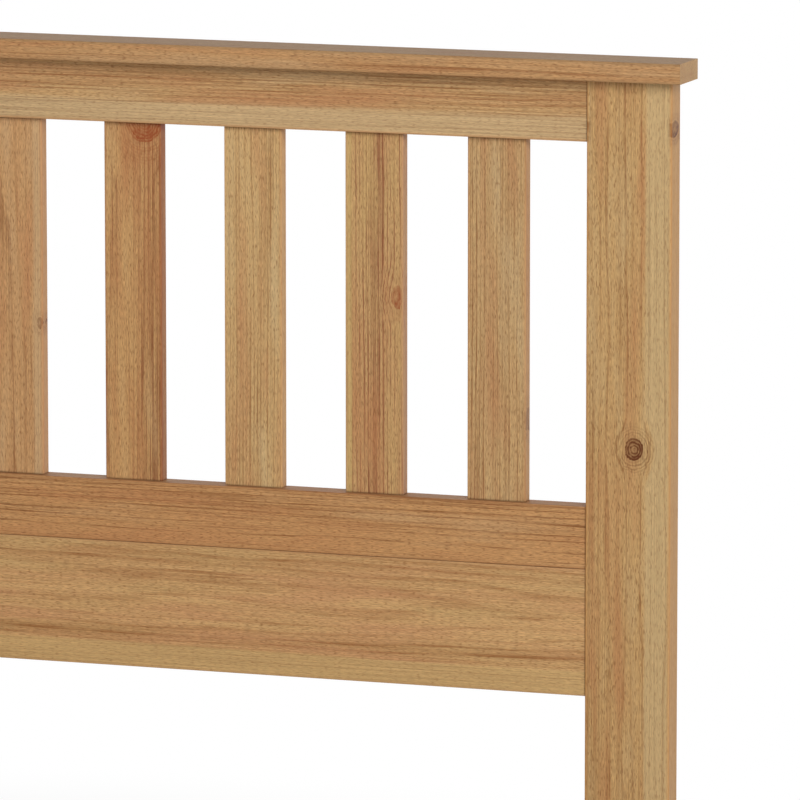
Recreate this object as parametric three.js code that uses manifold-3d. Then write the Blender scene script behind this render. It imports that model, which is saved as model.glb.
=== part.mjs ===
// Queen-size panel bed in solid pine, in millimetres, +Z up.
// The headboard stands at +Y and its front faces -Y. The foot of the bed is at -Y, and the origin
// is on the floor under the middle of the bed. Pieces that meet keep one small fitting gap.
import * as THREE from "three";
import { mergeVertices } from "three/addons/utils/BufferGeometryUtils.js";
import Module from "manifold-3d";

const wasm = await Module();
wasm.setup();

// Mattress that the bed takes, and the room round it
const MATTRESS_WIDTH = 1524;
const MATTRESS_LENGTH = 2032;
const MATTRESS_SIDE_ROOM = 6;
const MATTRESS_END_ROOM = 12;

// Fit of one piece against another
const GAP = 0.3;

// Posts, which stand a little further out than the side rails
const POST_WIDTH = 89;
const POST_DEPTH = 28;
const POST_EDGE = 1.5;
const POST_OUTSIDE_RAIL = 44;
const HEADBOARD_HEIGHT = 1143;
const FOOTBOARD_HEIGHT = 405;

// Cap boards that cover the posts
const CAP_THICKNESS = 20.5;
const CAP_SIDE_OVERHANG = 13;
const CAP_FACE_OVERHANG = 15.5;
const CAP_EDGE = 1;

// Cross boards between two posts, with tenons in the posts and tongues in the board above
const BOARD_THICKNESS = 25;
const BOARD_SETBACK = 3;
const BOARD_EDGE = 0.8;
const TOP_RAIL_HEIGHT = 62.5;
const UPPER_BOARD_HEIGHT = 63.5;
const LOWER_BOARD_HEIGHT = 129.5;
const STRETCHER_HEIGHT = 90;
const TENON_THICKNESS = 10;
const TENON_LENGTH = 22;
const TENON_SHOULDER = 9;
const TONGUE_THICKNESS = 7;
const TONGUE_HEIGHT = 7;

// Upright slats of the headboard, with a stub tenon at each end. The gap beside each post is a
// little narrower than the gaps between slats.
const UPRIGHT_COUNT = 11;
const UPRIGHT_END_GAP = 66.8;
const UPRIGHT_WIDTH = 62;
const UPRIGHT_THICKNESS = 14;
const UPRIGHT_SETBACK = 7;
const UPRIGHT_HEIGHT = 369;
const UPRIGHT_EDGE = 1.2;
const UPRIGHT_TENON_SHOULDER = 8;
const UPRIGHT_TENON_THICKNESS = 7;
const UPRIGHT_TENON_LENGTH = 12;

// Side rails, with a stub at each end that keeps the rail from turning on its bolt
const RAIL_TOP = 355;
const RAIL_HEIGHT = 160;
const RAIL_THICKNESS = 28;
const RAIL_EDGE = 3;
const STUB_LENGTH = 9;
const STUB_THICKNESS = 16;
const STUB_SHOULDER = 20;

// Bed bolts and the barrel nuts that they pull on
const BOLT_DIAMETER = 8;
const BOLT_HEAD_DIAMETER = 17;
const BOLT_HEAD_THICKNESS = 3.5;
const BOLT_HEAD_CHAMFER = 1;
const BOLT_SOCKET_WIDTH = 6;
const BOLT_SOCKET_DEPTH = 2.5;
const BOLT_HOLE_ROOM = 0.5;
const BOLT_PAST_NUT = 12;
const BOLT_TIP_ROOM = 4;
const COUNTERBORE_DIAMETER = 19;
const COUNTERBORE_DEPTH = 4.5;
const NUT_DIAMETER = 14;
const NUT_LENGTH = 20;
const NUT_SETBACK = 40;
const NUT_SLOT_WIDTH = 2;
const NUT_SLOT_DEPTH = 1.5;

// Slats of the deck, and the cleats on the side rails that carry them
const DECK_TOP = 272;
const DECK_SLAT_COUNT = 13;
const DECK_SLAT_WIDTH = 89;
const DECK_SLAT_THICKNESS = 19;
const DECK_SLAT_EDGE = 2;
const DECK_SLAT_END_ROOM = 3;
const DECK_END_ROOM = 55;
const CLEAT_WIDTH = 32;
const CLEAT_HEIGHT = 32;
const CLEAT_EDGE = 2;
const CLEAT_END_ROOM = 18;
const CLEAT_SCREW_COUNT = 6;

// Countersunk screw holes
const SCREW_HOLE_DIAMETER = 4.5;
const SCREW_HEAD_DIAMETER = 9;
const SCREW_HEAD_DEPTH = 3;

// Centre beam, the legs under it and the steel hangers at its ends
const BEAM_WIDTH = 38;
const BEAM_HEIGHT = 50;
const BEAM_EDGE = 2;
const LEG_COUNT = 2;
const LEG_WIDTH = 38;
const LEG_EDGE = 3;
const LEG_TENON_WIDTH = 20;
const LEG_TENON_LENGTH = 18;
const HANGER_PLATE = 2;
const HANGER_REACH = 45;
const HANGER_HEIGHT = 40;
const HANGER_FLANGE = 22;
const HANGER_HOLE_DIAMETER = 5;
const HANGER_HOLE_SPACING = 20;

// Nail-on glides under the posts and legs
const GLIDE_DIAMETER = 22;
const GLIDE_THICKNESS = 5;
const GLIDE_CHAMFER = 1.2;
const GLIDE_NAIL_DIAMETER = 3;
const GLIDE_NAIL_LENGTH = 16;

// How finely round shapes are faceted, and how far a cut runs past a face
const ROUND_SIDES = 24;
const HOLE_SIDES = 12;
const SCREW_SIDES = 8;
const HEX_SIDES = 6;
const EDGE_STEPS = 3;
const CUT_PAST = 2;

// Places that follow from the sizes above
const railInnerX = MATTRESS_WIDTH / 2 + MATTRESS_SIDE_ROOM;
const railX = railInnerX + RAIL_THICKNESS / 2;
const railZ = RAIL_TOP - RAIL_HEIGHT / 2;
const railSpan = MATTRESS_LENGTH + 2 * MATTRESS_END_ROOM;
const postOuterX = railInnerX + RAIL_THICKNESS + POST_OUTSIDE_RAIL;
const postInnerX = postOuterX - POST_WIDTH;
const postX = (postOuterX + postInnerX) / 2;
const postY = railSpan / 2 + POST_DEPTH / 2;
const postBottom = GLIDE_THICKNESS + GAP;
const boardFrontY = BOARD_SETBACK - POST_DEPTH / 2;
const boardY = boardFrontY + BOARD_THICKNESS / 2;
const uprightY = boardFrontY + UPRIGHT_SETBACK + UPRIGHT_THICKNESS / 2;
const uprightStart = UPRIGHT_END_GAP + UPRIGHT_WIDTH / 2 - postInnerX;
const uprightPitch = (-2 * uprightStart) / (UPRIGHT_COUNT - 1);
const uprightTenonWidth = UPRIGHT_WIDTH - 2 * UPRIGHT_TENON_SHOULDER;
const stubHeight = RAIL_HEIGHT - 2 * STUB_SHOULDER;
const boltHeadSeat = COUNTERBORE_DEPTH - GAP;
const boltLength = POST_DEPTH - boltHeadSeat + NUT_SETBACK + BOLT_PAST_NUT;
const deckUnderside = DECK_TOP - DECK_SLAT_THICKNESS;
const cleatX = railInnerX - GAP - CLEAT_WIDTH / 2;
const beamTop = deckUnderside - GAP;
const beamBottom = beamTop - BEAM_HEIGHT;
const beamHeadY = postY + boardFrontY - GAP;
const beamFootY = -postY + boardFrontY + BOARD_THICKNESS + GAP;

// Finishes
const PINE = { color: 0xb88a5c, roughness: 0.62, metalness: 0 };
const BARE_PINE = { color: 0xcfae80, roughness: 0.75, metalness: 0 };
const BRONZED_STEEL = { color: 0x4a3c30, roughness: 0.45, metalness: 1 };
const ZINC = { color: 0xb9bcbe, roughness: 0.35, metalness: 1 };
const BLACK_STEEL = { color: 0x26272a, roughness: 0.5, metalness: 1 };
const NYLON = { color: 0x3a3836, roughness: 0.55, metalness: 0 };

// A closed geometry as a solid that can be cut and joined
function solidFrom(geometry) {
  const shape = geometry.clone();
  shape.deleteAttribute("normal");
  shape.deleteAttribute("uv");
  const merged = mergeVertices(shape, 1e-4);
  const corners = merged.index.array;
  const kept = [];
  for (let i = 0; i < corners.length; i += 3) {
    const [a, b, c] = [corners[i], corners[i + 1], corners[i + 2]];
    if (a !== b && b !== c && c !== a) kept.push(a, b, c);
  }
  const triVerts = new Uint32Array(kept);
  const vertProperties = new Float32Array(merged.attributes.position.array);
  return new wasm.Manifold(new wasm.Mesh({ numProp: 3, vertProperties, triVerts }));
}

// The solid back as a geometry with flat shading
function geometryFrom(solid) {
  const mesh = solid.getMesh();
  const points = new Float32Array(mesh.numVert * 3);
  for (let i = 0; i < mesh.numVert; i++) {
    points.set(mesh.vertProperties.subarray(i * mesh.numProp, i * mesh.numProp + 3), i * 3);
  }
  const indexed = new THREE.BufferGeometry();
  indexed.setAttribute("position", new THREE.BufferAttribute(points, 3));
  indexed.setIndex(new THREE.BufferAttribute(new Uint32Array(mesh.triVerts), 1));
  const flat = indexed.toNonIndexed();
  flat.computeVertexNormals();
  return flat;
}

function piece(name, solid, finish, x, y, z) {
  const mesh = new THREE.Mesh(geometryFrom(solid), new THREE.MeshStandardMaterial(finish));
  mesh.name = name;
  mesh.position.set(x, y, z);
  return mesh;
}

function box(sizeX, sizeY, sizeZ, x = 0, y = 0, z = 0) {
  return solidFrom(new THREE.BoxGeometry(sizeX, sizeY, sizeZ).translate(x, y, z));
}

// Round bar centred on a point, with its axis along x, y or z
function bar(diameter, length, axis, x = 0, y = 0, z = 0, sides = HOLE_SIDES) {
  const geometry = new THREE.CylinderGeometry(diameter / 2, diameter / 2, length, sides);
  if (axis === "x") geometry.rotateZ(Math.PI / 2);
  if (axis === "z") geometry.rotateX(Math.PI / 2);
  return solidFrom(geometry.translate(x, y, z));
}

// Solid turned round the z axis from [radius, z] pairs that start and end on the axis
function turned(profile, sides = ROUND_SIDES) {
  const points = profile.map(([radius, height]) => new THREE.Vector2(radius, height));
  return solidFrom(new THREE.LatheGeometry(points, sides).rotateX(Math.PI / 2));
}

// Cross-section of a board with its four arrises rounded over
function boardSection(width, height, edge) {
  const right = width / 2;
  const top = height / 2;
  const radius = Math.min(edge, right * 0.9, top * 0.9);
  const section = new THREE.Shape();
  section.moveTo(right - radius, -top);
  section.absarc(right - radius, -top + radius, radius, -Math.PI / 2, 0);
  section.absarc(right - radius, top - radius, radius, 0, Math.PI / 2);
  section.absarc(-right + radius, top - radius, radius, Math.PI / 2, Math.PI);
  section.absarc(-right + radius, -top + radius, radius, Math.PI, 1.5 * Math.PI);
  return section;
}

// Board centred on a point, with its grain along x, y or z and its other two sizes in x, y, z order
function board(grain, length, width, height, edge, x = 0, y = 0, z = 0) {
  const geometry = new THREE.ExtrudeGeometry(boardSection(width, height, edge), {
    depth: length,
    bevelEnabled: false,
    curveSegments: EDGE_STEPS,
  });
  geometry.translate(0, 0, -length / 2);
  if (grain === "x") geometry.rotateY(Math.PI / 2).rotateX(Math.PI / 2);
  if (grain === "y") geometry.rotateX(Math.PI / 2);
  return solidFrom(geometry.translate(x, y, z));
}

// Countersunk hole straight down from a top face
function screwHoleDown(x, y, top, depth) {
  const head = SCREW_HEAD_DIAMETER / 2;
  const hole = SCREW_HOLE_DIAMETER / 2;
  const profile = [
    [0, top - depth - CUT_PAST],
    [hole, top - depth - CUT_PAST],
    [hole, top - SCREW_HEAD_DEPTH],
    [head, top],
    [head, top + CUT_PAST],
    [0, top + CUT_PAST],
  ];
  const points = profile.map(([radius, z]) => new THREE.Vector2(radius, z));
  const geometry = new THREE.LatheGeometry(points, SCREW_SIDES).rotateX(Math.PI / 2);
  return solidFrom(geometry.translate(x, y, 0));
}

// Places of the upright slats from left to right
function uprightPlaces() {
  const places = [];
  for (let i = 0; i < UPRIGHT_COUNT; i++) places.push(uprightStart + i * uprightPitch);
  return places;
}

// Cross board centred on its own middle, with a tenon at each end
function crossBoard(height, { tongue = false, groove = false, mortises = 0 } = {}) {
  const bodyLength = 2 * (postInnerX - GAP);
  const tenonedLength = 2 * (postInnerX + TENON_LENGTH);
  let solid = board("x", bodyLength, BOARD_THICKNESS, height, BOARD_EDGE);
  solid = solid.add(box(tenonedLength, TENON_THICKNESS, height - 2 * TENON_SHOULDER));
  if (tongue) {
    const rooted = TONGUE_HEIGHT + BOARD_EDGE;
    const z = height / 2 + TONGUE_HEIGHT - rooted / 2;
    solid = solid.add(box(bodyLength, TONGUE_THICKNESS, rooted, 0, 0, z));
  }
  if (groove) {
    const depth = TONGUE_HEIGHT + GAP + CUT_PAST;
    const z = -height / 2 - CUT_PAST + depth / 2;
    solid = solid.subtract(box(tenonedLength, TONGUE_THICKNESS + 2 * GAP, depth, 0, 0, z));
  }
  if (mortises) {
    const depth = UPRIGHT_TENON_LENGTH + GAP + CUT_PAST;
    const z = mortises * (height / 2 + CUT_PAST - depth / 2);
    for (const x of uprightPlaces()) {
      const width = uprightTenonWidth + 2 * GAP;
      const thickness = UPRIGHT_TENON_THICKNESS + 2 * GAP;
      solid = solid.subtract(box(width, thickness, depth, x, uprightY - boardY, z));
    }
  }
  return solid;
}

// Upright slat centred on its own middle, with a tenon up and down
function uprightSlat() {
  const bodyLength = UPRIGHT_HEIGHT - 2 * GAP;
  const tenonedLength = UPRIGHT_HEIGHT + 2 * UPRIGHT_TENON_LENGTH;
  const body = board("z", bodyLength, UPRIGHT_WIDTH, UPRIGHT_THICKNESS, UPRIGHT_EDGE);
  return body.add(box(uprightTenonWidth, UPRIGHT_TENON_THICKNESS, tenonedLength));
}

// Post on the floor point under its middle. Its boards are [middle z, height] pairs, side is 1 on
// the right, and outward is 1 where the back of the post is the bed's end and -1 at the foot
function post(side, outward, top, boards) {
  const length = top - postBottom;
  const middle = (top + postBottom) / 2;
  let solid = board("z", length, POST_WIDTH, POST_DEPTH, POST_EDGE, 0, 0, middle);
  const tenonRoom = TENON_LENGTH + GAP + CUT_PAST;
  for (const [z, height] of boards) {
    const x = -side * (POST_WIDTH / 2 + CUT_PAST - tenonRoom / 2);
    const thickness = TENON_THICKNESS + 2 * GAP;
    const tenonHeight = height - 2 * TENON_SHOULDER + 2 * GAP;
    solid = solid.subtract(box(tenonRoom, thickness, tenonHeight, x, boardY, z));
  }
  const boltX = side * (railX - postX);
  const stubRoom = STUB_LENGTH + GAP + CUT_PAST;
  const stubY = -outward * (POST_DEPTH / 2 + CUT_PAST - stubRoom / 2);
  const stubWidth = STUB_THICKNESS + 2 * GAP;
  solid = solid.subtract(box(stubWidth, stubRoom, stubHeight + 2 * GAP, boltX, stubY, railZ));
  const boltHole = BOLT_DIAMETER + 2 * BOLT_HOLE_ROOM;
  solid = solid.subtract(bar(boltHole, POST_DEPTH + 2 * CUT_PAST, "y", boltX, 0, railZ));
  const sinkDepth = COUNTERBORE_DEPTH + CUT_PAST;
  const sinkY = outward * (POST_DEPTH / 2 + CUT_PAST - sinkDepth / 2);
  const sink = bar(COUNTERBORE_DIAMETER, sinkDepth, "y", boltX, sinkY, railZ, ROUND_SIDES);
  return solid.subtract(sink).subtract(glideNailHole());
}

// Hole for a glide's nail, up from the floor point under a post or leg
function glideNailHole() {
  const top = GLIDE_THICKNESS + GLIDE_NAIL_LENGTH + GAP;
  const length = top - postBottom + CUT_PAST;
  return bar(GLIDE_NAIL_DIAMETER + 2 * GAP, length, "z", 0, 0, top - length / 2);
}

// Cap board centred on its own middle, grooved below for the tongue of the board that it covers
function capBoard() {
  const length = 2 * (postOuterX + CAP_SIDE_OVERHANG);
  const depth = POST_DEPTH + 2 * CAP_FACE_OVERHANG;
  const solid = board("x", length, depth, CAP_THICKNESS, CAP_EDGE);
  const grooveDepth = TONGUE_HEIGHT + CUT_PAST;
  const z = -CAP_THICKNESS / 2 - CUT_PAST + grooveDepth / 2;
  return solid.subtract(box(2 * postInnerX, TONGUE_THICKNESS + 2 * GAP, grooveDepth, 0, boardY, z));
}

// Side rail centred on its own middle, bored at both ends for bolt and barrel nut
function sideRail(side) {
  let solid = board("y", railSpan - 2 * GAP, RAIL_THICKNESS, RAIL_HEIGHT, RAIL_EDGE);
  solid = solid.add(box(STUB_THICKNESS, railSpan + 2 * STUB_LENGTH, stubHeight));
  const boreEnd = railSpan / 2 - NUT_SETBACK - BOLT_PAST_NUT - BOLT_TIP_ROOM;
  const boreLength = railSpan / 2 + STUB_LENGTH + CUT_PAST - boreEnd;
  const nutRoom = NUT_LENGTH / 2 + GAP + RAIL_THICKNESS / 2 + CUT_PAST;
  const nutX = side * (NUT_LENGTH / 2 + GAP - nutRoom / 2);
  for (const end of [-1, 1]) {
    const boreY = end * (boreEnd + boreLength / 2);
    solid = solid.subtract(bar(BOLT_DIAMETER + 2 * BOLT_HOLE_ROOM, boreLength, "y", 0, boreY, 0));
    const nutY = end * (railSpan / 2 - NUT_SETBACK);
    const nutBore = NUT_DIAMETER + 2 * GAP;
    solid = solid.subtract(bar(nutBore, nutRoom, "x", nutX, nutY, 0, ROUND_SIDES));
  }
  return solid;
}

// Bed bolt with its head's seat at the origin and its shank along +z
function bedBolt() {
  const head = BOLT_HEAD_DIAMETER / 2;
  const shank = BOLT_DIAMETER / 2;
  const solid = turned([
    [0, -BOLT_HEAD_THICKNESS],
    [head - BOLT_HEAD_CHAMFER, -BOLT_HEAD_THICKNESS],
    [head, BOLT_HEAD_CHAMFER - BOLT_HEAD_THICKNESS],
    [head, 0],
    [shank, 0],
    [shank, boltLength - BOLT_HEAD_CHAMFER],
    [shank - BOLT_HEAD_CHAMFER, boltLength],
    [0, boltLength],
  ]);
  const socketDiameter = BOLT_SOCKET_WIDTH / Math.cos(Math.PI / HEX_SIDES);
  const socketLength = BOLT_SOCKET_DEPTH + CUT_PAST;
  const socketZ = BOLT_SOCKET_DEPTH - BOLT_HEAD_THICKNESS - socketLength / 2;
  return solid.subtract(bar(socketDiameter, socketLength, "z", 0, 0, socketZ, HEX_SIDES));
}

// Barrel nut across a rail, with a slot on the end that shows
function barrelNut(side) {
  const bore = BOLT_DIAMETER + 2 * GAP;
  let solid = bar(NUT_DIAMETER, NUT_LENGTH, "x", 0, 0, 0, ROUND_SIDES);
  solid = solid.subtract(bar(bore, NUT_DIAMETER + 2 * CUT_PAST, "y"));
  const slotDepth = NUT_SLOT_DEPTH + CUT_PAST;
  const slotX = -side * (NUT_LENGTH / 2 + CUT_PAST - slotDepth / 2);
  return solid.subtract(box(slotDepth, NUT_SLOT_WIDTH, NUT_DIAMETER + CUT_PAST, slotX));
}

// Cleat centred on its own middle, screwed sideways to its rail
function cleat(side) {
  const length = railSpan - 2 * CLEAT_END_ROOM;
  const holeLength = CLEAT_WIDTH + 2 * CUT_PAST;
  let solid = board("y", length, CLEAT_WIDTH, CLEAT_HEIGHT, CLEAT_EDGE);
  for (let i = 0; i < CLEAT_SCREW_COUNT; i++) {
    const y = ((i + 0.5) / CLEAT_SCREW_COUNT - 0.5) * length;
    solid = solid.subtract(bar(SCREW_HOLE_DIAMETER, holeLength, "x", 0, y, 0, SCREW_SIDES));
    const sinkDepth = SCREW_HEAD_DEPTH + CUT_PAST;
    const sinkX = -side * (CLEAT_WIDTH / 2 + CUT_PAST - sinkDepth / 2);
    solid = solid.subtract(bar(SCREW_HEAD_DIAMETER, sinkDepth, "x", sinkX, y, 0, SCREW_SIDES));
  }
  return solid;
}

// Deck slat centred on its own middle, screwed to both cleats and to the beam
function deckSlat() {
  const length = 2 * (railInnerX - DECK_SLAT_END_ROOM);
  let solid = board("x", length, DECK_SLAT_WIDTH, DECK_SLAT_THICKNESS, DECK_SLAT_EDGE);
  for (const x of [-cleatX, 0, cleatX]) {
    const top = DECK_SLAT_THICKNESS / 2;
    solid = solid.subtract(screwHoleDown(x, 0, top, DECK_SLAT_THICKNESS));
  }
  return solid;
}

// Places of the centre legs along the bed
function legPlaces() {
  const places = [];
  for (let i = 1; i <= LEG_COUNT; i++) places.push(railSpan * (i / (LEG_COUNT + 1) - 0.5));
  return places;
}

// Centre beam with its underside at z 0 and its foot end at y 0
function centreBeam() {
  const length = beamHeadY - beamFootY;
  const middle = BEAM_HEIGHT / 2;
  let solid = board("y", length, BEAM_WIDTH, BEAM_HEIGHT, BEAM_EDGE, 0, length / 2, middle);
  for (const y of legPlaces()) {
    const width = LEG_TENON_WIDTH + 2 * GAP;
    const depth = LEG_TENON_LENGTH + GAP + CUT_PAST;
    solid = solid.subtract(box(width, width, depth, 0, y - beamFootY, depth / 2 - CUT_PAST));
  }
  return solid;
}

// Centre leg on the floor point under it, with a tenon up into the beam
function centreLeg() {
  const top = beamBottom - GAP;
  const middle = (top + postBottom) / 2;
  let solid = board("z", top - postBottom, LEG_WIDTH, LEG_WIDTH, LEG_EDGE, 0, 0, middle);
  const tenonTop = beamBottom + LEG_TENON_LENGTH;
  const rooted = LEG_TENON_LENGTH + 2 * GAP + CUT_PAST;
  solid = solid.add(box(LEG_TENON_WIDTH, LEG_TENON_WIDTH, rooted, 0, 0, tenonTop - rooted / 2));
  return solid.subtract(glideNailHole());
}

// Bent steel hanger at the face of a cross board, with the beam's underside at z 0. It reaches
// along y towards the bed's middle, which is -1 at the head and 1 at the foot
function beamHanger(inward) {
  const insideWidth = BEAM_WIDTH + 2 * GAP;
  const outsideWidth = insideWidth + 2 * HANGER_PLATE;
  const flangeWidth = outsideWidth + 2 * HANGER_FLANGE;
  const bottom = -GAP - HANGER_PLATE;
  const middleZ = bottom + HANGER_HEIGHT / 2;
  const reachY = (inward * HANGER_REACH) / 2;
  const flangeY = (inward * HANGER_PLATE) / 2;
  let solid = box(outsideWidth, HANGER_REACH, HANGER_HEIGHT, 0, reachY, middleZ);
  solid = solid.add(box(flangeWidth, HANGER_PLATE, HANGER_HEIGHT, 0, flangeY, middleZ));
  const roomHeight = HANGER_HEIGHT + CUT_PAST;
  const room = box(
    insideWidth,
    HANGER_REACH + 2 * CUT_PAST,
    roomHeight,
    0,
    reachY,
    bottom + HANGER_PLATE + roomHeight / 2,
  );
  solid = solid.subtract(room);
  const holeX = outsideWidth / 2 + HANGER_FLANGE / 2;
  for (const x of [-holeX, holeX]) {
    for (const step of [-0.5, 0.5]) {
      const z = middleZ + step * HANGER_HOLE_SPACING;
      const length = HANGER_PLATE + 2 * CUT_PAST;
      solid = solid.subtract(bar(HANGER_HOLE_DIAMETER, length, "y", x, flangeY, z));
    }
  }
  return solid;
}

// Glide with its nail, standing on the floor
function glide() {
  const radius = GLIDE_DIAMETER / 2;
  const nail = GLIDE_NAIL_DIAMETER / 2;
  return turned([
    [0, 0],
    [radius - GLIDE_CHAMFER, 0],
    [radius, GLIDE_CHAMFER],
    [radius, GLIDE_THICKNESS],
    [nail, GLIDE_THICKNESS],
    [nail, GLIDE_THICKNESS + GLIDE_NAIL_LENGTH],
    [0, GLIDE_THICKNESS + GLIDE_NAIL_LENGTH],
  ]);
}

// Names of the two sides as seen from the foot of the bed
const SIDES = [
  ["left", -1],
  ["right", 1],
];

function headboard() {
  const group = new THREE.Group();
  group.position.y = postY;
  const postTop = HEADBOARD_HEIGHT - CAP_THICKNESS - GAP;
  const topRailZ = postTop - TOP_RAIL_HEIGHT / 2;
  const slatTop = postTop - TOP_RAIL_HEIGHT;
  const panelTop = slatTop - UPRIGHT_HEIGHT;
  const upperZ = panelTop - UPPER_BOARD_HEIGHT / 2;
  const lowerTop = panelTop - UPPER_BOARD_HEIGHT - GAP;
  const lowerZ = lowerTop - LOWER_BOARD_HEIGHT / 2;
  const stretcherZ = RAIL_TOP - RAIL_HEIGHT + STRETCHER_HEIGHT / 2;
  const boards = [
    [topRailZ, TOP_RAIL_HEIGHT],
    [upperZ, UPPER_BOARD_HEIGHT],
    [lowerZ, LOWER_BOARD_HEIGHT],
    [stretcherZ, STRETCHER_HEIGHT],
  ];
  for (const [name, side] of SIDES) {
    group.add(piece(`headboard_post_${name}`, post(side, 1, postTop, boards), PINE, side * postX, 0, 0));
  }
  const capZ = HEADBOARD_HEIGHT - CAP_THICKNESS / 2;
  const topRail = crossBoard(TOP_RAIL_HEIGHT, { tongue: true, mortises: -1 });
  const upperBoard = crossBoard(UPPER_BOARD_HEIGHT, { groove: true, mortises: 1 });
  const lowerBoard = crossBoard(LOWER_BOARD_HEIGHT, { tongue: true });
  group.add(piece("headboard_cap", capBoard(), PINE, 0, 0, capZ));
  group.add(piece("headboard_top_rail", topRail, PINE, 0, boardY, topRailZ));
  group.add(piece("headboard_panel_upper_board", upperBoard, PINE, 0, boardY, upperZ));
  group.add(piece("headboard_panel_lower_board", lowerBoard, PINE, 0, boardY, lowerZ));
  group.add(piece("headboard_stretcher", crossBoard(STRETCHER_HEIGHT), PINE, 0, boardY, stretcherZ));
  const slatZ = (slatTop + panelTop) / 2;
  uprightPlaces().forEach((x, i) => {
    group.add(piece(`headboard_slat_${i + 1}`, uprightSlat(), PINE, x, uprightY, slatZ));
  });
  return group;
}

function footboard() {
  const group = new THREE.Group();
  group.position.y = -postY;
  const postTop = FOOTBOARD_HEIGHT - CAP_THICKNESS - GAP;
  const upperZ = postTop - UPPER_BOARD_HEIGHT / 2;
  const lowerZ = postTop - UPPER_BOARD_HEIGHT - GAP - LOWER_BOARD_HEIGHT / 2;
  const boards = [
    [upperZ, UPPER_BOARD_HEIGHT],
    [lowerZ, LOWER_BOARD_HEIGHT],
  ];
  for (const [name, side] of SIDES) {
    group.add(piece(`footboard_post_${name}`, post(side, -1, postTop, boards), PINE, side * postX, 0, 0));
  }
  const capZ = FOOTBOARD_HEIGHT - CAP_THICKNESS / 2;
  const upperBoard = crossBoard(UPPER_BOARD_HEIGHT, { tongue: true, groove: true });
  const lowerBoard = crossBoard(LOWER_BOARD_HEIGHT, { tongue: true });
  group.add(piece("footboard_cap", capBoard(), PINE, 0, 0, capZ));
  group.add(piece("footboard_upper_board", upperBoard, PINE, 0, boardY, upperZ));
  group.add(piece("footboard_lower_board", lowerBoard, PINE, 0, boardY, lowerZ));
  return group;
}

function sideRails() {
  const group = new THREE.Group();
  const cleatZ = deckUnderside - GAP - CLEAT_HEIGHT / 2;
  for (const [name, side] of SIDES) {
    group.add(piece(`side_rail_${name}`, sideRail(side), PINE, side * railX, 0, railZ));
    group.add(piece(`cleat_${name}`, cleat(side), BARE_PINE, side * cleatX, 0, cleatZ));
  }
  return group;
}

function deck() {
  const group = new THREE.Group();
  const first = -railSpan / 2 + DECK_END_ROOM + DECK_SLAT_WIDTH / 2;
  const pitch = (-2 * first) / (DECK_SLAT_COUNT - 1);
  for (let i = 0; i < DECK_SLAT_COUNT; i++) {
    const z = DECK_TOP - DECK_SLAT_THICKNESS / 2;
    group.add(piece(`deck_slat_${i + 1}`, deckSlat(), BARE_PINE, 0, first + i * pitch, z));
  }
  return group;
}

function centreSupport() {
  const group = new THREE.Group();
  group.add(piece("centre_beam", centreBeam(), BARE_PINE, 0, beamFootY, beamBottom));
  group.add(piece("beam_hanger_head", beamHanger(-1), ZINC, 0, beamHeadY, beamBottom));
  group.add(piece("beam_hanger_foot", beamHanger(1), ZINC, 0, beamFootY, beamBottom));
  legPlaces().forEach((y, i) => {
    group.add(piece(`centre_leg_${i + 1}`, centreLeg(), BARE_PINE, 0, y, 0));
    group.add(piece(`centre_leg_glide_${i + 1}`, glide(), NYLON, 0, y, 0));
  });
  return group;
}

function cornerHardware() {
  const group = new THREE.Group();
  for (const [endName, end] of [["head", 1], ["foot", -1]]) {
    for (const [sideName, side] of SIDES) {
      const x = side * railX;
      const seatY = end * (postY + POST_DEPTH / 2 - boltHeadSeat);
      const bolt = piece(`bed_bolt_${endName}_${sideName}`, bedBolt(), BRONZED_STEEL, x, seatY, railZ);
      bolt.rotation.x = (end * Math.PI) / 2;
      const nutY = end * (railSpan / 2 - NUT_SETBACK);
      const nutName = `barrel_nut_${endName}_${sideName}`;
      const glideName = `post_glide_${endName}_${sideName}`;
      group.add(bolt);
      group.add(piece(nutName, barrelNut(side), BLACK_STEEL, x, nutY, railZ));
      group.add(piece(glideName, glide(), NYLON, side * postX, end * postY, 0));
    }
  }
  return group;
}

const bed = new THREE.Group();
bed.add(headboard(), footboard(), sideRails(), deck(), centreSupport(), cornerHardware());

export default bed;
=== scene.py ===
# Queen-size panel bed in stained pine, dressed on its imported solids, in metres, +Z up.
# The headboard stands at +Y and faces -Y. Sizes are written in millimetres and scaled where they
# reach Blender, but the camera, floor and lamps are placed in metres. Places in the grain are
# (along, across, through) from the middle of a board.
import math
import random

import bmesh
import bpy
from mathutils import Matrix, Vector


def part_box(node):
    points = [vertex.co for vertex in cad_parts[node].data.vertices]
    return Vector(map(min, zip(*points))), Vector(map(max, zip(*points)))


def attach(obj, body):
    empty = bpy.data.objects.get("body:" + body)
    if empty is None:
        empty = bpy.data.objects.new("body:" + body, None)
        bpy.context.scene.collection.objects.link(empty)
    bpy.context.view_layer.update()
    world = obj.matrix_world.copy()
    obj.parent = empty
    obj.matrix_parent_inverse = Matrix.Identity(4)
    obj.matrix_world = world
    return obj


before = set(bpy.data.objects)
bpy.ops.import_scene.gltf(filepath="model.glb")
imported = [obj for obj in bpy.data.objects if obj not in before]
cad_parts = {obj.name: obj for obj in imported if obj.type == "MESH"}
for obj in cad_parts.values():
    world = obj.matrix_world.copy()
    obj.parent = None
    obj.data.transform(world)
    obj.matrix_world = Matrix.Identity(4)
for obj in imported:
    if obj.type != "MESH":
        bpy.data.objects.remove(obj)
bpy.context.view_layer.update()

# Camera at the photograph's place: a little above the headboard and in front of its right end,
# with a long lens that takes in the upper right corner, and no shift.
CAMERA_PLACE = (3.2130, -6.4997, 2.0198)
CAMERA_PITCH = 8.759
CAMERA_TURN = 19.456
CAMERA_LENS = 360
CAMERA_SENSOR = 36
camera_data = bpy.data.cameras.new("camera")
camera_data.lens = CAMERA_LENS
camera_data.sensor_width = CAMERA_SENSOR
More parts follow.
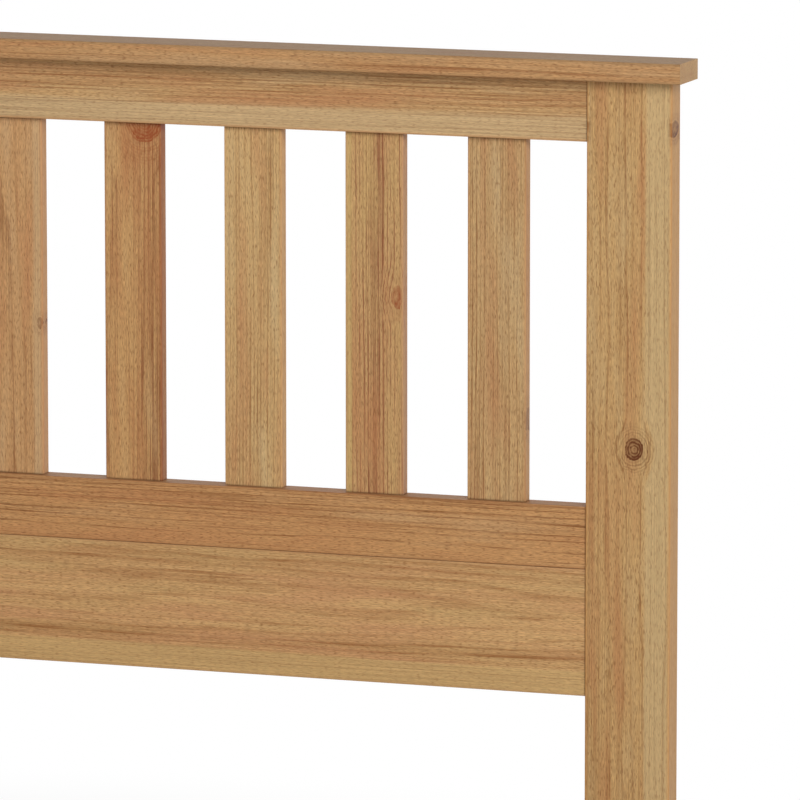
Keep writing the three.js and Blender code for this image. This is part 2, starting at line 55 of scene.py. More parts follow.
camera_data.clip_start = 0.1
camera_data.clip_end = 200
camera = bpy.data.objects.new("camera", camera_data)
camera.location = CAMERA_PLACE
camera.rotation_euler = (math.radians(90 - CAMERA_PITCH), 0, math.radians(CAMERA_TURN))
bpy.context.scene.collection.objects.link(camera)
bpy.context.scene.camera = camera
bpy.context.scene.view_settings.view_transform = "Standard"


# Headboard: boards of knotty pine, planed, brushed along the grain, stained honey and sealed with a
# satin lacquer. The cap lies on the posts, the rail and boards are tenoned between them, and the
# upright slats stand in mortises. Growth rings, brushed pores and knots show through the stain.
MM = 0.001
MIX_A, MIX_B, MIX_COLOR = 6, 7, 2
FLOAT_A, FLOAT_B = 2, 3


def linear(code):
    """An sRGB hex colour as linear RGBA."""
    channels = [int(code[i:i + 2], 16) / 255 for i in (1, 3, 5)]
    return [c / 12.92 if c <= 0.04045 else ((c + 0.055) / 1.055) ** 2.4 for c in channels] + [1]


def add(tree, kind, inputs=None, **settings):
    """Adds a node with its settings and links, and gives back its outputs."""
    made = tree.nodes.new(kind)
    for name, value in settings.items():
        setattr(made, name, value)
    for name, value in (inputs or {}).items():
        if isinstance(value, bpy.types.NodeSocket):
            tree.links.new(value, made.inputs[name])
        else:
            made.inputs[name].default_value = value
    return made.outputs


# Figure of a board: rings round the pith of the log, cut by the board and pushed aside by knots
figure = bpy.data.node_groups.new("wood_figure", "ShaderNodeTree")
for kind, names in {
    "Vector": ("Place", "Half", "Grain", "Across", "Pith", "Sap edge", "Stripe 1", "Stripe 2", "Knot",
               "Side knot", "Knot spread"),
    "Float": ("Knot rings", "Seed", "Ring", "Wander", "Contrast", "Brushing", "Joint"),
    "Color": ("Early", "Late", "Sapwood", "Warm", "Arris", "Ends", "Pore", "Knotwood"),
}.items():
    for name in names:
        figure.interface.new_socket(name, in_out="INPUT", socket_type="NodeSocket" + kind)
for name, kind in {"Color": "Color", "Roughness": "Float", "Normal": "Vector"}.items():
    figure.interface.new_socket(name, in_out="OUTPUT", socket_type="NodeSocket" + kind)
given = figure.nodes.new("NodeGroupInput").outputs

# Noises that stretch along the grain, each with its size in millimetres, its detail and its shift
noises = {}
for name, size, detail, shift in (
    ("drift", (420, 110, 110), 1.5, 0),
    ("wobble", (190, 15, 15), 1, 3),
    ("ragged", (16, 1.8, 1.8), 1, 5),
    ("bands", (1200, 26, 26), 2, 7),
    ("streaks", (240, 1.4, 1.4), 2.5, 9),
    ("fibre", (8, 0.7, 0.7), 1, 11),
    ("pores", (5, 0.9, 0.9), 0, 13),
    ("broken", (45, 4, 4), 1, 17),
    ("blush", (190, 18, 18), 2, 19),
    ("lumps", (9, 8, 8), 2, 23),
    ("burl", (4, 3, 3), 2, 29),
):
    stretched = add(figure, "ShaderNodeVectorMath", {0: given["Place"], 1: [1 / s for s in size]},
                    operation="MULTIPLY")[0]
    turn = add(figure, "ShaderNodeMath", {0: given["Seed"], 1: shift}, operation="ADD")[0]
    noises[name] = add(figure, "ShaderNodeTexNoise",
                       {"Vector": stretched, "W": turn, "Scale": 1, "Detail": detail},
                       noise_dimensions="4D")
drift = add(figure, "ShaderNodeVectorMath", {0: noises["drift"][1], 1: (0.5, 0.5, 0.5)},
            operation="SUBTRACT")[0]
drift = add(figure, "ShaderNodeVectorMath", {0: drift, "Scale": given["Wander"]}, operation="SCALE")[0]
bent = add(figure, "ShaderNodeVectorMath", {0: given["Place"], 1: drift}, operation="ADD")[0]
along, across, through = add(figure, "ShaderNodeSeparateXYZ", {0: bent})

# Distance from each knot, in millimetres and in radii of the knot, with an uneven rim and a way that
# the branch leaned. One knot is on a face and one on an edge. Round the knot on the face the grain
# bows out, so its lines crowd together there.
BRANCH_LEAN = (-0.6, 0.8, 0)
EDGE_SPREAD = (1, 0, 0.65)
RIM_LUMPS, RIM_BURL = 4, 2.4
knot_reach = {}
line = across
for name, spread in (("Knot", given["Knot spread"]), ("Side knot", EDGE_SPREAD)):
    centre = given[name]
    size = add(figure, "ShaderNodeSeparateXYZ", {0: centre})
    if name == "Side knot":
        centre = add(figure, "ShaderNodeCombineXYZ", {0: size[0], 2: size[1]})[0]
    away = add(figure, "ShaderNodeVectorMath", {0: bent, 1: centre}, operation="SUBTRACT")[0]
    away = add(figure, "ShaderNodeVectorMath", {0: away, 1: spread}, operation="MULTIPLY")[0]
    lean = add(figure, "ShaderNodeVectorMath", {0: away, 1: BRANCH_LEAN}, operation="DOT_PRODUCT")[1]
    lean = add(figure, "ShaderNodeMath", {0: lean, 1: size[2]}, operation="DIVIDE")[0]
    away = add(figure, "ShaderNodeVectorMath", {0: away}, operation="LENGTH")[1]
    uneven = add(figure, "ShaderNodeMath", {0: noises["lumps"][0], 1: RIM_LUMPS, 2: away},
                 operation="MULTIPLY_ADD")[0]
    uneven = add(figure, "ShaderNodeMath", {0: noises["burl"][0], 1: RIM_BURL, 2: uneven},
                 operation="MULTIPLY_ADD")[0]
    uneven = add(figure, "ShaderNodeMath", {0: uneven, 1: (RIM_LUMPS + RIM_BURL) / 2},
                 operation="SUBTRACT")[0]
    radii = add(figure, "ShaderNodeMath", {0: uneven, 1: size[2]}, operation="DIVIDE")[0]
    knot_reach[name] = (uneven, radii, lean)
    if name == "Knot":
        freed = add(figure, "ShaderNodeMapRange", {"Value": radii, "From Min": 0.3, "From Max": 3.4},
                    interpolation_type="SMOOTHSTEP")[0]
        line = add(figure, "ShaderNodeMix", {0: freed, FLOAT_A: size[1], FLOAT_B: line})[0]

# Rings, darker towards the end of each year, some years far fainter than others. They wobble slowly
# and are ragged along the fibres, both in widths of a ring.
WOBBLE, RAGGEDNESS = 1.6, 0.35
SEED_STRIDE = 17.3
taper, pith_across, pith_through = add(figure, "ShaderNodeSeparateXYZ", {0: given["Pith"]})
from_pith = add(figure, "ShaderNodeCombineXYZ", {
    1: add(figure, "ShaderNodeMath", {0: line, 1: pith_across}, operation="SUBTRACT")[0],
    2: add(figure, "ShaderNodeMath", {0: through, 1: pith_through}, operation="SUBTRACT")[0],
})[0]
radius = add(figure, "ShaderNodeVectorMath", {0: from_pith}, operation="LENGTH")[1]
radius = add(figure, "ShaderNodeMath", {0: along, 1: taper, 2: radius}, operation="MULTIPLY_ADD")[0]
years = add(figure, "ShaderNodeMath", {0: radius, 1: given["Ring"]}, operation="DIVIDE")[0]
years = add(figure, "ShaderNodeMath", {0: noises["wobble"][0], 1: WOBBLE, 2: years},
            operation="MULTIPLY_ADD")[0]
years = add(figure, "ShaderNodeMath", {0: noises["ragged"][0], 1: RAGGEDNESS, 2: years},
            operation="MULTIPLY_ADD")[0]
year = add(figure, "ShaderNodeMath", {0: years}, operation="FLOOR")[0]
year = add(figure, "ShaderNodeMath", {0: given["Seed"], 1: SEED_STRIDE, 2: year},
           operation="MULTIPLY_ADD")[0]
growth = add(figure, "ShaderNodeTexWhiteNoise", {"W": year}, noise_dimensions="1D")[0]
growth = add(figure, "ShaderNodeMapRange", {"Value": growth, "To Min": 0.15, "To Max": 1})[0]
season = add(figure, "ShaderNodeMath", {0: years}, operation="FRACT")[0]
late = add(figure, "ShaderNodeMapRange", {"Value": season, "From Min": 0.5, "From Max": 0.9},
           interpolation_type="SMOOTHSTEP")[0]
winter = add(figure, "ShaderNodeMapRange", {"Value": season, "From Min": 0.9, "From Max": 1,
                                            "To Min": 1, "To Max": 0})[0]
late = add(figure, "ShaderNodeMath", {0: late, 1: winter}, operation="MULTIPLY")[0]
late = add(figure, "ShaderNodeMath", {0: late, 1: growth}, operation="MULTIPLY")[0]
broken = add(figure, "ShaderNodeMapRange", {"Value": noises["broken"][0], "From Min": 0.35,
                                            "From Max": 0.65, "To Min": 0.45, "To Max": 1.25})[0]
late = add(figure, "ShaderNodeMath", {0: late, 1: broken}, operation="MULTIPLY")[0]

# Colour of heartwood and sapwood, with slow bands and a warm blush here and there. The sapwood shows
# its rings only faintly.
LATE_DEPTH = 1.2
SAPWOOD_DEPTH = 0.4
bands = add(figure, "ShaderNodeMapRange", {"Value": noises["bands"][0], "From Min": 0.3, "From Max": 0.7,
                                           "To Min": -0.35, "To Max": 0.5})[0]
streaks = add(figure, "ShaderNodeMapRange", {"Value": noises["streaks"][0], "From Min": 0.25,
                                             "From Max": 0.75, "To Min": -0.9, "To Max": 0.9})[0]
shade = add(figure, "ShaderNodeMath", {0: bands, 1: streaks}, operation="ADD")[0]
shade = add(figure, "ShaderNodeMath", {0: late, 1: LATE_DEPTH, 2: shade}, operation="MULTIPLY_ADD")[0]
for name in ("Stripe 1", "Stripe 2"):
    middle, half, depth = add(figure, "ShaderNodeSeparateXYZ", {0: given[name]})
    off = add(figure, "ShaderNodeMath", {0: line, 1: middle}, operation="SUBTRACT")[0]
    off = add(figure, "ShaderNodeMath", {0: off}, operation="ABSOLUTE")[0]
    stripe = add(figure, "ShaderNodeMapRange",
                 {"Value": off, "From Min": half, "From Max": 0, "To Max": depth},
                 interpolation_type="SMOOTHSTEP")[0]
    shade = add(figure, "ShaderNodeMath", {0: shade, 1: stripe}, operation="ADD")[0]
shade = add(figure, "ShaderNodeMath", {0: shade, 1: given["Contrast"]}, operation="MULTIPLY",
            use_clamp=True)[0]
heartwood = add(figure, "ShaderNodeMix", {0: shade, MIX_A: given["Early"], MIX_B: given["Late"]},
                data_type="RGBA")[MIX_COLOR]
for tint, plain, full in (("Warm", 0.5, 0.68), ("Sapwood", 0.48, 0.32)):
    blush = add(figure, "ShaderNodeMapRange", {"Value": noises["blush"][0], "From Min": plain,
                                               "From Max": full, "To Max": 0.6})[0]
    heartwood = add(figure, "ShaderNodeMix", {0: blush, MIX_A: heartwood, MIX_B: given[tint]},
                    data_type="RGBA")[MIX_COLOR]
sap_shade = add(figure, "ShaderNodeMath", {0: shade, 1: SAPWOOD_DEPTH}, operation="MULTIPLY")[0]
sapwood = add(figure, "ShaderNodeMix", {0: sap_shade, MIX_A: given["Sapwood"], MIX_B: given["Late"]},
              data_type="RGBA")[MIX_COLOR]
edge, blend, side = add(figure, "ShaderNodeSeparateXYZ", {0: given["Sap edge"]})
beyond = add(figure, "ShaderNodeMath", {0: line, 1: edge}, operation="SUBTRACT")[0]
beyond = add(figure, "ShaderNodeMath", {0: beyond, 1: side}, operation="MULTIPLY")[0]
beyond = add(figure, "ShaderNodeMapRange", {"Value": beyond, "From Min": 0, "From Max": blend},
             interpolation_type="SMOOTHSTEP")[0]
color = add(figure, "ShaderNodeMix", {0: beyond, MIX_A: heartwood, MIX_B: sapwood},
            data_type="RGBA")[MIX_COLOR]

# Fibres and brushed pores, both fainter in the sapwood, where long streaks show instead. A real pore
# is a tenth of a millimetre wide and would not show, so the pores are drawn about a millimetre wide.
SAP_STREAK_DEPTH = 0.15
calm = add(figure, "ShaderNodeMapRange", {"Value": beyond, "To Min": 1, "To Max": 0.65})[0]
fibre = add(figure, "ShaderNodeMapRange", {"Value": noises["fibre"][0], "From Min": 0.25, "From Max": 0.75,
                                           "To Min": -0.25, "To Max": 0.25})[0]
fibre = add(figure, "ShaderNodeMath", {0: fibre, 1: calm, 2: 1}, operation="MULTIPLY_ADD")[0]
sap_streaks = add(figure, "ShaderNodeMath", {0: streaks, 1: beyond}, operation="MULTIPLY")[0]
fibre = add(figure, "ShaderNodeMath", {0: sap_streaks, 1: -SAP_STREAK_DEPTH, 2: fibre},
            operation="MULTIPLY_ADD")[0]
color = add(figure, "ShaderNodeVectorMath", {0: color, "Scale": fibre}, operation="SCALE")[0]
pores = add(figure, "ShaderNodeMapRange", {"Value": noises["pores"][0], "From Min": 0.58,
                                           "From Max": 0.74})[0]
pores = add(figure, "ShaderNodeMath", {0: pores, 1: given["Brushing"]}, operation="MULTIPLY")[0]
pores = add(figure, "ShaderNodeMath", {0: pores, 1: calm}, operation="MULTIPLY")[0]
color = add(figure, "ShaderNodeMix", {0: pores, MIX_A: color, MIX_B: given["Pore"]},
            data_type="RGBA")[MIX_COLOR]

# The edges of a board drink more stain than its faces. On the cap and the upper panel board the darker Arris
# tint is painted shade as well, which darkens their top faces beyond what the dim light overhead does.
normal = add(figure, "ShaderNodeNewGeometry")[1]
facing = add(figure, "ShaderNodeVectorMath", {0: normal, 1: given["Across"]}, operation="DOT_PRODUCT")[1]
facing = add(figure, "ShaderNodeMath", {0: facing}, operation="ABSOLUTE")[0]
edges = add(figure, "ShaderNodeMapRange", {"Value": facing, "From Min": 0.6, "From Max": 0.85,
                                           "To Max": 0.5})[0]
color = add(figure, "ShaderNodeMix", {0: edges, MIX_A: color, MIX_B: given["Arris"]},
            data_type="RGBA")[MIX_COLOR]

# Knots: a branch cut across, with a paler heart, a dark rim of bark that is patchy and thicker on the
# side that it leaned to, and faint rings of bent grain outside. The knot on the face has its own fine
# rings too. The stops give the depth of colour against distance, up to 2.5 radii from the middle.
KNOT_EXTENT = 2.5
KNOT_STOPS = ((0, 0.5), (0.06, 0.55), (0.14, 0.8), (0.24, 0.85), (0.33, 1), (0.37, 0.85), (0.41, 0.2),
              (0.45, 0.12), (0.5, 0.36), (0.6, 0.2), (0.7, 0.24), (0.8, 0.08), (1, 0))
RING_RADIANS_PER_MM = 2.3
WITHOUT_RINGS = 0.6
SIDE_KNOT_DEPTH = 0.85
for name, (reach, radii, lean) in knot_reach.items():
    depth = add(figure, "ShaderNodeMath", {0: radii, 1: 1 / KNOT_EXTENT}, operation="MULTIPLY")[0]
    depth = add(figure, "ShaderNodeValToRGB", {0: depth})[0]
    ramp = figure.nodes[-1].color_ramp
    for at, level in KNOT_STOPS[1:-1]:
        ramp.elements.new(at)
    for element, (at, level) in zip(ramp.elements, KNOT_STOPS):
        element.position = at
        element.color = (level, level, level, 1)
    patchy = add(figure, "ShaderNodeMapRange", {"Value": noises["burl"][0], "From Min": 0.3,
                                                "From Max": 0.7, "To Min": 1.35, "To Max": 0.6})[0]
    thicker = add(figure, "ShaderNodeMapRange", {"Value": lean, "From Min": -1, "To Min": 0.7,
                                                 "To Max": 1.35})[0]
    depth = add(figure, "ShaderNodeMath", {0: depth, 1: patchy}, operation="MULTIPLY")[0]
    depth = add(figure, "ShaderNodeMath", {0: depth, 1: thicker}, operation="MULTIPLY")[0]
    full = SIDE_KNOT_DEPTH
    if name == "Knot":
        ringed = add(figure, "ShaderNodeMath", {0: reach, 1: RING_RADIANS_PER_MM}, operation="MULTIPLY")[0]
        ringed = add(figure, "ShaderNodeMath", {0: ringed}, operation="SINE")[0]
        gentle = add(figure, "ShaderNodeMapRange", {"Value": radii, "From Min": 0.75, "From Max": 1.05,
                                                    "To Min": 0.62, "To Max": 0})[0]
        ringed = add(figure, "ShaderNodeMapRange", {"Value": ringed, "From Min": -1, "To Min": gentle,
                                                    "To Max": 1.3})[0]
        full = add(figure, "ShaderNodeMix", {0: given["Knot rings"], FLOAT_A: WITHOUT_RINGS,
                                             FLOAT_B: ringed})[0]
    depth = add(figure, "ShaderNodeMath", {0: depth, 1: full}, operation="MULTIPLY", use_clamp=True)[0]
    if name == "Side knot":
        outer = add(figure, "ShaderNodeMath", {0: across}, operation="ABSOLUTE")[0]
        half = add(figure, "ShaderNodeSeparateXYZ", {0: given["Half"]})[1]
        outer = add(figure, "ShaderNodeMath", {0: half, 1: outer}, operation="SUBTRACT")[0]
        outer = add(figure, "ShaderNodeMapRange", {"Value": outer, "From Min": 1, "From Max": 5,
                                                   "To Min": 1, "To Max": 0})[0]
        depth = add(figure, "ShaderNodeMath", {0: depth, 1: outer}, operation="MULTIPLY")[0]
    color = add(figure, "ShaderNodeMix", {0: depth, MIX_A: color, MIX_B: given["Knotwood"]},
                data_type="RGBA")[MIX_COLOR]

# Arrises are brushed and take more stain, joints hold a dark line of it, and end grain drinks it. On the cap
# and the upper panel board the arris tint is darker and is partly painted shade.
END_STAIN = 0.5
away = add(figure, "ShaderNodeVectorMath", {0: given["Place"]}, operation="ABSOLUTE")[0]
away = add(figure, "ShaderNodeVectorMath", {0: given["Half"], 1: away}, operation="SUBTRACT")[0]
end, face, back = add(figure, "ShaderNodeSeparateXYZ", {0: away})
arris = add(figure, "ShaderNodeMath", {0: face, 1: back}, operation="ADD")[0]
arris = add(figure, "ShaderNodeMapRange", {"Value": arris, "From Min": 1.2, "From Max": 3.2,
                                           "To Min": 0.4, "To Max": 0})[0]
color = add(figure, "ShaderNodeMix", {0: arris, MIX_A: color, MIX_B: given["Arris"]},
            data_type="RGBA")[MIX_COLOR]
joint = add(figure, "ShaderNodeMapRange", {"Value": end, "From Min": 0.3, "From Max": 1.8,
                                           "To Min": given["Joint"], "To Max": 1})[0]
color = add(figure, "ShaderNodeVectorMath", {0: color, "Scale": joint}, operation="SCALE")[0]
facing = add(figure, "ShaderNodeVectorMath", {0: normal, 1: given["Grain"]}, operation="DOT_PRODUCT")[1]
facing = add(figure, "ShaderNodeMath", {0: facing}, operation="ABSOLUTE")[0]
end_grain = add(figure, "ShaderNodeMapRange", {"Value": facing, "From Min": 0.6, "From Max": 0.85})[0]
ends = add(figure, "ShaderNodeMix", {0: END_STAIN, MIX_A: color, MIX_B: given["Ends"]},
           data_type="RGBA")[MIX_COLOR]
color = add(figure, "ShaderNodeMix", {0: end_grain, MIX_A: color, MIX_B: ends},
            data_type="RGBA")[MIX_COLOR]

# Brushing wears the soft early wood lower than the hard late wood, and opens the pores. The ridges and
# pits are shares of its full depth.
BRUSHED_DEPTH = 0.3
LATE_RIDGE, PORE_PIT = 0.7, 0.5
relief = add(figure, "ShaderNodeMath", {0: late, 1: LATE_RIDGE, 2: noises["fibre"][0]},
             operation="MULTIPLY_ADD")[0]
relief = add(figure, "ShaderNodeMath", {0: pores, 1: -PORE_PIT, 2: relief}, operation="MULTIPLY_ADD")[0]
normal = add(figure, "ShaderNodeBump",
             {"Strength": 0.7, "Distance": BRUSHED_DEPTH * MM, "Height": relief})[0]
gloss = add(figure, "ShaderNodeMapRange", {"Value": relief, "From Min": -0.2, "From Max": 1,
                                           "To Min": 0.62, "To Max": 0.46})[0]
made = figure.nodes.new("NodeGroupOutput").inputs
for name, value in (("Color", color), ("Roughness", gloss), ("Normal", normal)):
    figure.links.new(value, made[name])

# Stain as it looks on early wood, late wood, sapwood, warm places, arrises, ends, pores and knots
HONEY_STAIN = {"Early": "#C39C6A", "Late": "#93653B", "Sapwood": "#C5A679", "Warm": "#B67F54",
               "Arris": "#C8905D", "Ends": "#C1A370", "Pore": "#80522C", "Knotwood": "#6A3A1E"}
PINE_IOR = 1.45
PINE_SPECULAR = 0.26
SANDING = 0.5
FAR = 9999
FAR_AWAY = (FAR, FAR, 1)


def bare_material(name):
    """Adds a material with an empty node tree, and gives back both."""
    material = bpy.data.materials.new(name)
    material.use_nodes = True
    material.node_tree.nodes.clear()
    return material, material.node_tree


def pine(name, lie, palette=HONEY_STAIN, trim=(0, 0, 0, 0), pith=(0.004, 0, 60), ring=5.0, wander=9,
         contrast=1.0, brushing=0.55, sap=(FAR, 4, 1), stripes=(), knot=FAR_AWAY,
         knot_spread=(0.85, 1, 0), knot_rings=1, side_knot=FAR_AWAY, seed=0, tone=(1, 1, 1), joint=1,
         **tints):
    """Puts a board of brushed pine on a CAD node. lie names its axes along and across the grain, and
    trim is what tenons and tongues add to its box: two ends along, then low and high across. pith is
    (taper, across, through), sap (edge, blend, side), a stripe (middle, half width, depth) and a knot
    (along, across, radius), or along and through on an edge. tone is how this board's red, green and
    blue stand to the palette's, and joint how dark its ends are."""
    material, tree = bare_material("brushed_pine_" + name)
    order = ["xyz".index(lie[0]), "xyz".index(lie[1])]
    order.append(3 - sum(order))
    low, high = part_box(name)
    low = [low[i] / MM for i in order]
    high = [high[i] / MM for i in order]
    low[0], high[0] = low[0] + trim[0], high[0] - trim[1]
    low[1], high[1] = low[1] + trim[2], high[1] - trim[3]
    middle = [(a + b) / 2 for a, b in zip(low, high)]
    half = [(b - a) / 2 for a, b in zip(low, high)]
    place = add(tree, "ShaderNodeTexCoord")["Object"]
    split = add(tree, "ShaderNodeSeparateXYZ", {0: place})
    place = add(tree, "ShaderNodeCombineXYZ", {i: split[axis] for i, axis in enumerate(order)})[0]
    place = add(tree, "ShaderNodeVectorMath", {0: place, "Scale": 1 / MM}, operation="SCALE")[0]
    place = add(tree, "ShaderNodeVectorMath", {0: place, 1: middle}, operation="SUBTRACT")[0]
    grain, edge_way = [0, 0, 0], [0, 0, 0]
    grain[order[0]] = 1
    edge_way[order[1]] = 1
    stripes = [*stripes, FAR_AWAY, FAR_AWAY]
    values = {"Place": place, "Half": half, "Grain": grain, "Across": edge_way, "Pith": pith,
              "Sap edge": sap, "Stripe 1": stripes[0], "Stripe 2": stripes[1], "Knot": knot,
              "Knot spread": knot_spread, "Knot rings": knot_rings, "Side knot": side_knot,
              "Seed": seed, "Ring": ring, "Wander": wander, "Contrast": contrast,
              "Brushing": brushing, "Joint": joint}
    for part, code in {**palette, **tints}.items():
        values[part] = [a * b for a, b in zip(linear(code), (*tone, 1))]
    group = tree.nodes.new("ShaderNodeGroup")
    group.node_tree = figure
    for part, value in values.items():
        if isinstance(value, bpy.types.NodeSocket):
            tree.links.new(value, group.inputs[part])
        else:
            group.inputs[part].default_value = value
    wood = add(tree, "ShaderNodeBsdfPrincipled",
               {"Base Color": group.outputs["Color"], "Roughness": group.outputs["Roughness"],
                "Normal": group.outputs["Normal"], "IOR": PINE_IOR, "Specular IOR Level": PINE_SPECULAR})
    add(tree, "ShaderNodeOutputMaterial", {"Surface": wood[0]})
    dress(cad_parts[name], material, SANDING)


# The solids arrive as loose triangles: they are welded, and smooth wherever they turn gently
SHARP_TURN = math.radians(35)
WELD_REACH = 0.01
welded = bpy.data.node_groups.new("weld_and_smooth", "GeometryNodeTree")
welded.interface.new_socket("Geometry", in_out="INPUT", socket_type="NodeSocketGeometry")
welded.interface.new_socket("Geometry", in_out="OUTPUT", socket_type="NodeSocketGeometry")
solid = welded.nodes.new("NodeGroupInput").outputs[0]
solid = add(welded, "GeometryNodeRemoveAttribute", {"Geometry": solid, "Name": "custom_normal"})[0]
solid = add(welded, "GeometryNodeMergeByDistance", {"Geometry": solid, "Distance": WELD_REACH * MM})[0]
solid = add(welded, "GeometryNodeSetShadeSmooth", {"Geometry": solid, "Shade Smooth": True},
            domain="FACE")[0]
turning = add(welded, "GeometryNodeInputMeshEdgeAngle")[0]
sharp = add(welded, "FunctionNodeCompare", {0: turning, 1: SHARP_TURN},
            data_type="FLOAT", operation="GREATER_THAN")[0]
solid = add(welded, "GeometryNodeSetShadeSmooth",
            {"Geometry": solid, "Selection": sharp, "Shade Smooth": False}, domain="EDGE")[0]
welded.links.new(solid, welded.nodes.new("NodeGroupOutput").inputs[0])


def dress(body, material, rounding):
    """Gives a piece its material, and rounds its sharp edges as sanding or tumbling does."""
    body.data.materials.clear()
    body.data.materials.append(material)
    body.modifiers.new("weld", "NODES").node_group = welded
    ease = body.modifiers.new("ease", "BEVEL")
    ease.width = rounding * MM
    ease.segments = 2
    ease.limit_method = "ANGLE"
    ease.angle_limit = SHARP_TURN
    ease.harden_normals = False
    shade = body.modifiers.new("shade", "WEIGHTED_NORMAL")
    shade.keep_sharp = True


# What tenons, tongues and stubs add to the boxes of boards, and how dark the stain is at a shoulder
TENON = 22.3
TONGUE = 7
SLAT_TENON = 12.3
RAIL_STUB = 9.3
LEG_TENON = 18
SHOULDER_LINE = 0.62
# The cap's dark Arris tint is painted shade on its top face as well as stain on its arrises
pine("headboard_cap", "xz", pith=(0.002, -60, 40), ring=4.2, contrast=0.65, seed=1,
     stripes=[(-3, 2, 0.6)], tone=(0.95, 0.88, 0.88), Arris="#977D57")
pine("headboard_top_rail", "xz", trim=(TENON, TENON, 0, TONGUE), pith=(0.0015, 190, 30), ring=4.6,
     contrast=0.8, sap=(-3, 9, -1), stripes=[(10, 14, 0.25)], seed=2, joint=SHOULDER_LINE,
     tone=(1.02, 1.04, 1.08))
# The upper board's dark Arris tint is painted shade on its top face as well as stain on its arrises
pine("headboard_panel_upper_board", "xz", trim=(TENON, TENON, 0, 0), pith=(0.002, 150, 30), ring=5.4,
     contrast=0.95, stripes=[(-24, 12, -0.5), (10, 16, 0.12)], seed=3, tone=(0.99, 0.875, 0.825),
     joint=SHOULDER_LINE, Arris="#A37A52", Warm="#BA8B5E", Late="#8E643C")
pine("headboard_panel_lower_board", "xz", trim=(TENON, TENON, 0, TONGUE), pith=(0.006, 20, 70), ring=3.6,
     contrast=0.4, sap=(-38.8, 3, -1), stripes=[(-29, 14, 1.15), (52, 26, 1)], seed=4,
     tone=(1.14, 1.15, 1.18), joint=SHOULDER_LINE, Arris="#AE8258", Warm="#BC8C62", Sapwood="#BD9C69")
pine("headboard_stretcher", "xz", trim=(TENON, TENON, 0, 0), seed=5, joint=SHOULDER_LINE)
pine("headboard_post_left", "zx", pith=(0.003, 20, 70), seed=6)
pine("headboard_post_right", "zx", pith=(0.003, -120, 50), ring=7.5, wander=6, contrast=0.6,
     sap=(15.9, 4, 1), stripes=[(-9.5, 2.6, 0.4), (12.7, 3, 0.3)], knot=(188.9, 6.6, 10.5),
     side_knot=(510.5, -5, 8.5), seed=7, tone=(1, 1.02, 0.99), Arris="#C88849", Knotwood="#67371B")

# The slats come from different boards, so each has a figure and tone of its own, and a few a knot
SLATS = 11
SLAT_WOOD = {
    7: {"pith": (0.007, -20, 50), "ring": 4.2, "contrast": 0.6, "sap": (18, 5, 1),
        "tone": (1.03, 0.97, 0.99), "knot": (-27, 27, 3), "knot_spread": (0.45, 1, 0), "knot_rings": 0},
    8: {"pith": (0.004, -8, 62), "ring": 4, "stripes": [(21, 14, 0.35), (-19, 4, 0.3)],
        "tone": (1.03, 0.98, 0.93), "knot": (189, 13, 21), "knot_rings": 0.5,
        "Knotwood": "#96502C", "Late": "#8C5C3A", "Warm": "#B27C52", "Arris": "#9A5A38"},
    9: {"pith": (0.0006, 160, 30), "ring": 3.6, "contrast": 0.7, "tone": (1.1, 1.18, 1.22)},
    10: {"pith": (0.001, -130, 40), "ring": 3.8, "sap": (-22, 2, -1), "stripes": [(0, 14, 0.4)],
         "tone": (1.01, 0.99, 0.99), "knot": (18.5, 25, 6), "knot_spread": (0.5, 1, 0), "knot_rings": 0.3,
         "Knotwood": "#94492A", "Late": "#8F5C3C", "Sapwood": "#C4A46C", "Arris": "#C4966F"},
    11: {"pith": (0.001, 140, 50), "ring": 4, "contrast": 0.8, "tone": (1, 1.05, 1.11),
         "knot": (-101, 32, 4), "knot_spread": (0.3, 1, 0), "knot_rings": 0, "Knotwood": "#5E3420"},
}
random.seed(3)
for i in range(1, SLATS + 1):
    wood = {
        "pith": (random.uniform(0, 0.006), random.choice((-120, -15, 10, 130)), random.uniform(35, 65)),
        "ring": random.uniform(3.6, 4.6),
        "tone": [random.uniform(0.93, 1.07)] * 3,
    }
    wood.update(SLAT_WOOD.get(i, {}))
    pine(f"headboard_slat_{i}", "zx", trim=(SLAT_TENON, SLAT_TENON, 0, 0), seed=20 + i,
         joint=SHOULDER_LINE, **wood)

# Footboard: of the same build as the headboard, but low and without slats. Its boards have the same
# stain and lacquer, each with a figure of its own.
pine("footboard_cap", "xz", seed=40)
pine("footboard_upper_board", "xz", trim=(TENON, TENON, 0, TONGUE), seed=41, joint=SHOULDER_LINE)
pine("footboard_lower_board", "xz", trim=(TENON, TENON, 0, TONGUE), seed=42, joint=SHOULDER_LINE)
pine("footboard_post_left", "zx", seed=43)
pine("footboard_post_right", "zx", seed=44)

# Side rails: long stained boards between the posts, with a dark line of stain where each shoulder
# meets a post and its stub goes in.
for side, seed in (("left", 50), ("right", 51)):
    pine("side_rail_" + side, "yz", trim=(RAIL_STUB, RAIL_STUB, 0, 0), seed=seed, joint=SHOULDER_LINE)

# Deck: cleats, slats, centre beam and legs of pine that is planed and left bare, so it is paler and
# yellower than the stained boards.
DECK_SLATS = 13
BARE = {"Early": "#E0C498", "Late": "#C39A66", "Sapwood": "#E6D0A8", "Warm": "#D0A674",
        "Arris": "#D9BC8E", "Ends": "#D8B98A", "Pore": "#B08A5C", "Knotwood": "#8A5A34"}
for side in ("left", "right"):
    pine("cleat_" + side, "yz", palette=BARE, seed=60)
for i in range(DECK_SLATS):
    pine(f"deck_slat_{i + 1}", "xy", palette=BARE, seed=70 + i)
pine("centre_beam", "yz", palette=BARE, seed=90)
for i in (1, 2):
    pine(f"centre_leg_{i}", "zx", palette=BARE, trim=(0, LEG_TENON, 0, 0), seed=91 + i)

# Beam hangers: steel sheet bent to a stirrup, with bright zinc plating that shows faint cloudy
# patches and a very fine grit.
GRIT_WIDTH, GRIT_HEIGHT = 0.6, 0.02


